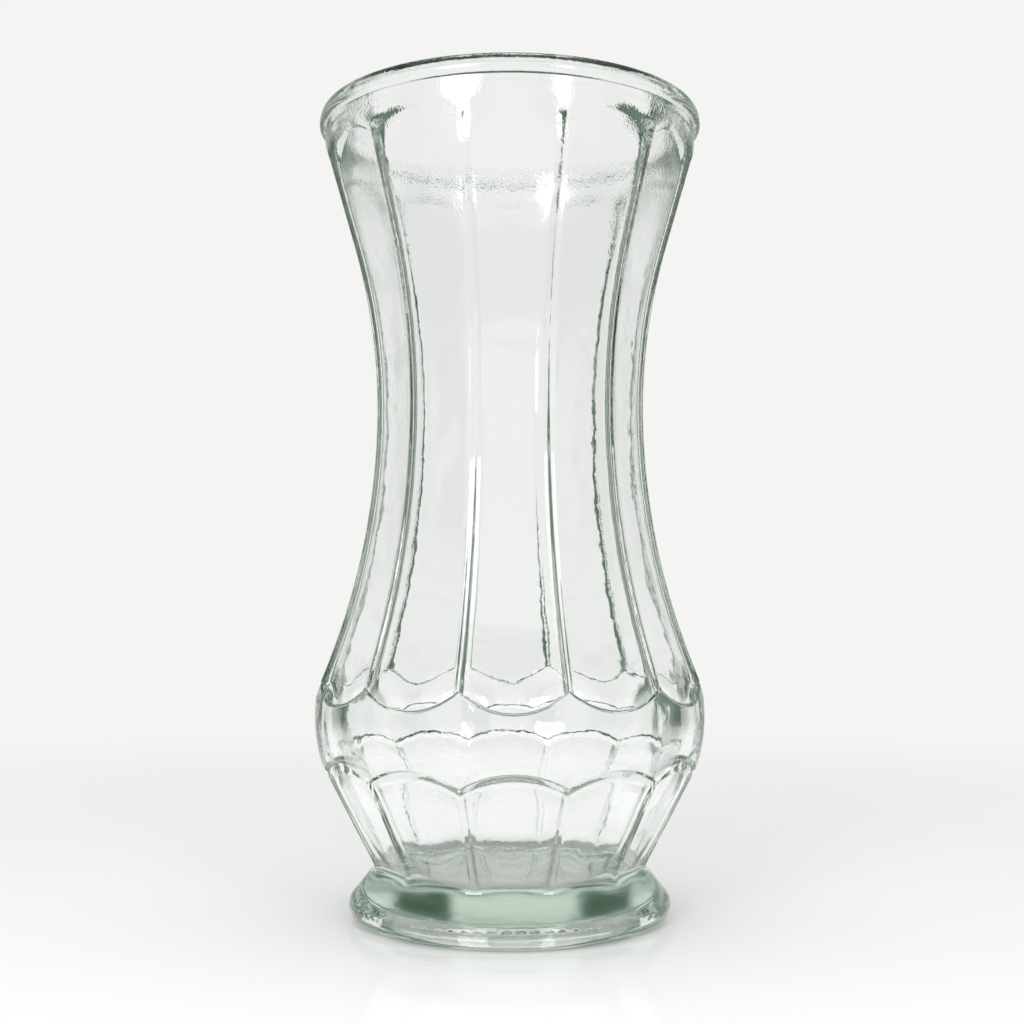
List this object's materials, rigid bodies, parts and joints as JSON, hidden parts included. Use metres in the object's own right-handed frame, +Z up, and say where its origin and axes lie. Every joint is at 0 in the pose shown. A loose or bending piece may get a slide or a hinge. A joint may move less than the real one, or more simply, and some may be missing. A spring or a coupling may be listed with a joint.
{
  "type": "flower vase",
  "caption": "Waisted clear glass flower vase with a beaded rim, flat panels up the neck and down the bowl, a plain round belly and a thick spreading foot.",
  "frame": {"origin": "centre of the circle that the foot stands on, on the surface below the vase", "axes": "+Z up the axis of the vase, from the foot to the rim; -Y is the side that faces the camera, where the middle of a panel lies"},
  "size_m": [0.1226, 0.1226, 0.254],
  "materials": {
    "glass": "clear pressed soda-lime glass, faint grey-green, fire polished"
  },
  "bodies": {
    "root": {"rim_bead": "glass", "panelled_neck": "glass", "belly_band": "glass", "panelled_bowl": "glass", "foot": "glass"}
  },
  "joints": []
}
